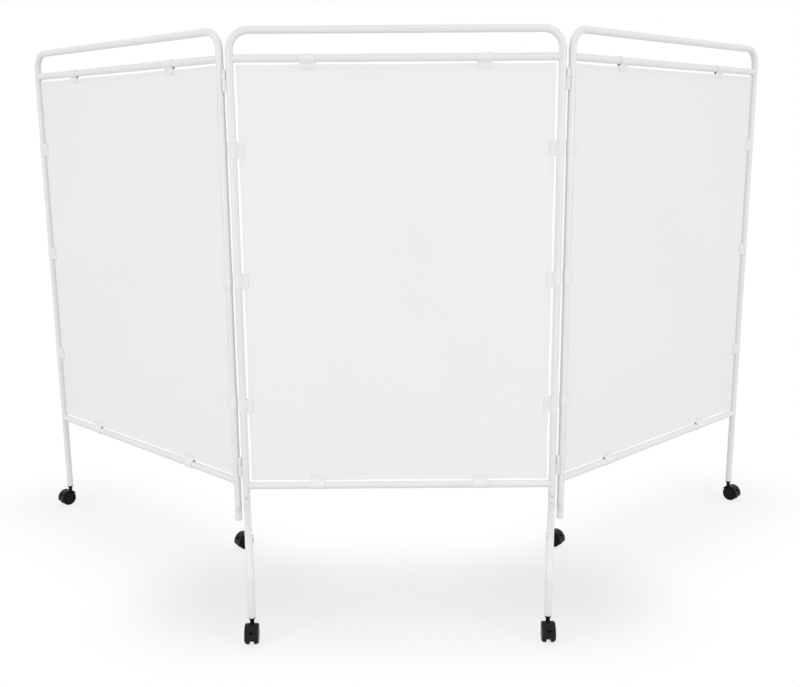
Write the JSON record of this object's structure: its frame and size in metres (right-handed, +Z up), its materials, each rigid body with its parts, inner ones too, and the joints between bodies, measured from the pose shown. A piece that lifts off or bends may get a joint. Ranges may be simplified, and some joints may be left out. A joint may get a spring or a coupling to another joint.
{
  "type": "ward privacy screen on wheels",
  "caption": "Folding hospital ward screen: a white tube frame with two hinged wings, stretched white sheets, arched feet and black twin-wheel casters.",
  "frame": {"origin": "on the floor under the middle of the screen's bounding box, wings folded as in the picture", "axes": "+X across the centre frame to the viewer's right, +Y away from the viewer, to the side that the wings fold back to, +Z up"},
  "size_m": [2.6346, 1.1548, 1.6867],
  "materials": {
    "white_coat": "smooth white powder coat, semi gloss",
    "sheet_fabric": "plain white woven sheet, matt",
    "black_plastic": "black moulded nylon, satin",
    "black_tread": "black nylon wheel, satin",
    "bright_steel": "zinc plated",
    "white_plastic": "pale plastic plug"
  },
  "bodies": {
    "centre": {"centre_frame": "white_coat", "centre_sheet": "sheet_fabric", "left_arched_foot": "white_coat", "left_foot_bolt": "bright_steel", "left_front_caster_plug": "black_plastic", "left_rear_caster_plug": "black_plastic", "right_arched_foot": "white_coat", "right_foot_bolt": "bright_steel", "right_front_caster_plug": "black_plastic", "right_rear_caster_plug": "black_plastic"},
    "left_wing": {"left_wing_frame": "white_coat", "left_wing_sheet": "sheet_fabric", "left_upper_hinge_pin": "white_coat", "left_lower_hinge_pin": "white_coat", "left_stile_cap": "white_plastic", "left_wing_caster_plug": "black_plastic"},
    "right_wing": {"right_wing_frame": "white_coat", "right_wing_sheet": "sheet_fabric", "right_upper_hinge_pin": "white_coat", "right_lower_hinge_pin": "white_coat", "right_stile_cap": "white_plastic", "right_wing_caster_plug": "black_plastic"},
    "left_front_caster": {"left_front_caster_hood": "black_plastic", "left_front_caster_stem": "bright_steel", "left_front_caster_axle": "bright_steel"},
    "left_front_caster_wheel_a": {"left_front_caster_wheel_a": "black_tread"},
    "left_front_caster_wheel_b": {"left_front_caster_wheel_b": "black_tread"},
    "left_front_caster_brake": {"left_front_caster_brake_lever": "black_plastic"},
    "left_rear_caster": {"left_rear_caster_hood": "black_plastic", "left_rear_caster_stem": "bright_steel", "left_rear_caster_axle": "bright_steel"},
    "left_rear_caster_wheel_a": {"left_rear_caster_wheel_a": "black_tread"},
    "left_rear_caster_wheel_b": {"left_rear_caster_wheel_b": "black_tread"},
    "left_rear_caster_brake": {"left_rear_caster_brake_lever": "black_plastic"},
    "left_wing_caster": {"left_wing_caster_hood": "black_plastic", "left_wing_caster_stem": "bright_steel", "left_wing_caster_axle": "bright_steel"},
    "left_wing_caster_wheel_a": {"left_wing_caster_wheel_a": "black_tread"},
    "left_wing_caster_wheel_b": {"left_wing_caster_wheel_b": "black_tread"},
    "left_wing_caster_brake": {"left_wing_caster_brake_lever": "black_plastic"},
    "right_front_caster": {"right_front_caster_hood": "black_plastic", "right_front_caster_stem": "bright_steel", "right_front_caster_axle": "bright_steel"},
    "right_front_caster_wheel_a": {"right_front_caster_wheel_a": "black_tread"},
    "right_front_caster_wheel_b": {"right_front_caster_wheel_b": "black_tread"},
    "right_front_caster_brake": {"right_front_caster_brake_lever": "black_plastic"},
    "right_rear_caster": {"right_rear_caster_hood": "black_plastic", "right_rear_caster_stem": "bright_steel", "right_rear_caster_axle": "bright_steel"},
    "right_rear_caster_wheel_a": {"right_rear_caster_wheel_a": "black_tread"},
    "right_rear_caster_wheel_b": {"right_rear_caster_wheel_b": "black_tread"},
    "right_rear_caster_brake": {"right_rear_caster_brake_lever": "black_plastic"},
    "right_wing_caster": {"right_wing_caster_hood": "black_plastic", "right_wing_caster_stem": "bright_steel", "right_wing_caster_axle": "bright_steel"},
    "right_wing_caster_wheel_a": {"right_wing_caster_wheel_a": "black_tread"},
    "right_wing_caster_wheel_b": {"right_wing_caster_wheel_b": "black_tread"},
    "right_wing_caster_brake": {"right_wing_caster_brake_lever": "black_plastic"}
  },
  "joints": [
    {"name": "left_wing_hinge", "type": "hinge", "parent": "centre", "child": "left_wing", "pos_m": [-0.487, -0.18754, 0.96], "axis": [0, 0, -1], "range_deg": [-103.4, 7.6]},
    {"name": "right_wing_hinge", "type": "hinge", "parent": "centre", "child": "right_wing", "pos_m": [0.487, -0.18754, 0.96], "axis": [0, 0, 1], "range_deg": [-103.4, 7.6]},
    {"name": "left_front_caster_swivel", "type": "hinge", "parent": "centre", "child": "left_front_caster", "pos_m": [-0.41256, -0.53076, 0.065], "axis": [0, 0, 1], "continuous": true},
    {"name": "left_front_caster_wheel_a_spin", "type": "hinge", "parent": "left_front_caster", "child": "left_front_caster_wheel_a", "pos_m": [-0.41204, -0.54575, 0.02708], "axis": [0.9994, 0.0349, 0], "continuous": true},
    {"name": "left_front_caster_wheel_b_spin", "type": "hinge", "parent": "left_front_caster", "child": "left_front_caster_wheel_b", "pos_m": [-0.41204, -0.54575, 0.02708], "axis": [0.9994, 0.0349, 0], "continuous": true},
    {"name": "left_front_caster_brake_press", "type": "hinge", "parent": "left_front_caster", "child": "left_front_caster_brake", "pos_m": [-0.41143, -0.56308, 0.04063], "axis": [0.9994, 0.0349, 0], "range_deg": [0, 12]},
    {"name": "left_rear_caster_swivel", "type": "hinge", "parent": "centre", "child": "left_rear_caster", "pos_m": [-0.52166, 0.12117, 0.065], "axis": [0, 0, 1], "continuous": true},
    {"name": "left_rear_caster_wheel_a_spin", "type": "hinge", "parent": "left_rear_caster", "child": "left_rear_caster_wheel_a", "pos_m": [-0.53315, 0.11153, 0.02708], "axis": [0.6428, -0.766, 0], "continuous": true},
    {"name": "left_rear_caster_wheel_b_spin", "type": "hinge", "parent": "left_rear_caster", "child": "left_rear_caster_wheel_b", "pos_m": [-0.53315, 0.11153, 0.02708], "axis": [0.6428, -0.766, 0], "continuous": true},
    {"name": "left_rear_caster_brake_press", "type": "hinge", "parent": "left_rear_caster", "child": "left_rear_caster_brake", "pos_m": [-0.54643, 0.10039, 0.04063], "axis": [0.6428, -0.766, 0], "range_deg": [0, 12]},
    {"name": "left_wing_caster_swivel", "type": "hinge", "parent": "left_wing", "child": "left_wing_caster", "pos_m": [-1.27315, 0.55589, 0.065], "axis": [0, 0, 1], "continuous": true},
    {"name": "left_wing_caster_wheel_a_spin", "type": "hinge", "parent": "left_wing_caster", "child": "left_wing_caster_wheel_a", "pos_m": [-1.28299, 0.54457, 0.02708], "axis": [0.7547, -0.6561, 0], "continuous": true},
    {"name": "left_wing_caster_wheel_b_spin", "type": "hinge", "parent": "left_wing_caster", "child": "left_wing_caster_wheel_b", "pos_m": [-1.28299, 0.54457, 0.02708], "axis": [0.7547, -0.6561, 0], "continuous": true},
    {"name": "left_wing_caster_brake_press", "type": "hinge", "parent": "left_wing_caster", "child": "left_wing_caster_brake", "pos_m": [-1.29437, 0.53149, 0.04063], "axis": [0.7547, -0.6561, 0], "range_deg": [0, 12]},
    {"name": "right_front_caster_swivel", "type": "hinge", "parent": "centre", "child": "right_front_caster", "pos_m": [0.41256, -0.53076, 0.065], "axis": [0, 0, 1], "continuous": true},
    {"name": "right_front_caster_wheel_a_spin", "type": "hinge", "parent": "right_front_caster", "child": "right_front_caster_wheel_a", "pos_m": [0.41204, -0.54575, 0.02708], "axis": [0.9994, -0.0349, 0], "continuous": true},
    {"name": "right_front_caster_wheel_b_spin", "type": "hinge", "parent": "right_front_caster", "child": "right_front_caster_wheel_b", "pos_m": [0.41204, -0.54575, 0.02708], "axis": [0.9994, -0.0349, 0], "continuous": true},
    {"name": "right_front_caster_brake_press", "type": "hinge", "parent": "right_front_caster", "child": "right_front_caster_brake", "pos_m": [0.41143, -0.56308, 0.04063], "axis": [0.9994, -0.0349, 0], "range_deg": [0, 12]},
    {"name": "right_rear_caster_swivel", "type": "hinge", "parent": "centre", "child": "right_rear_caster", "pos_m": [0.52166, 0.12117, 0.065], "axis": [0, 0, 1], "continuous": true},
    {"name": "right_rear_caster_wheel_a_spin", "type": "hinge", "parent": "right_rear_caster", "child": "right_rear_caster_wheel_a", "pos_m": [0.53315, 0.11153, 0.02708], "axis": [0.6428, 0.766, 0], "continuous": true},
    {"name": "right_rear_caster_wheel_b_spin", "type": "hinge", "parent": "right_rear_caster", "child": "right_rear_caster_wheel_b", "pos_m": [0.53315, 0.11153, 0.02708], "axis": [0.6428, 0.766, 0], "continuous": true},
    {"name": "right_rear_caster_brake_press", "type": "hinge", "parent": "right_rear_caster", "child": "right_rear_caster_brake", "pos_m": [0.54643, 0.10039, 0.04063], "axis": [0.6428, 0.766, 0], "range_deg": [0, 12]},
    {"name": "right_wing_caster_swivel", "type": "hinge", "parent": "right_wing", "child": "right_wing_caster", "pos_m": [1.27315, 0.55589, 0.065], "axis": [0, 0, 1], "continuous": true},
    {"name": "right_wing_caster_wheel_a_spin", "type": "hinge", "parent": "right_wing_caster", "child": "right_wing_caster_wheel_a", "pos_m": [1.28299, 0.54457, 0.02708], "axis": [0.7547, 0.6561, 0], "continuous": true},
    {"name": "right_wing_caster_wheel_b_spin", "type": "hinge", "parent": "right_wing_caster", "child": "right_wing_caster_wheel_b", "pos_m": [1.28299, 0.54457, 0.02708], "axis": [0.7547, 0.6561, 0], "continuous": true},
    {"name": "right_wing_caster_brake_press", "type": "hinge", "parent": "right_wing_caster", "child": "right_wing_caster_brake", "pos_m": [1.29437, 0.53149, 0.04063], "axis": [0.7547, 0.6561, 0], "range_deg": [0, 12]}
  ]
}
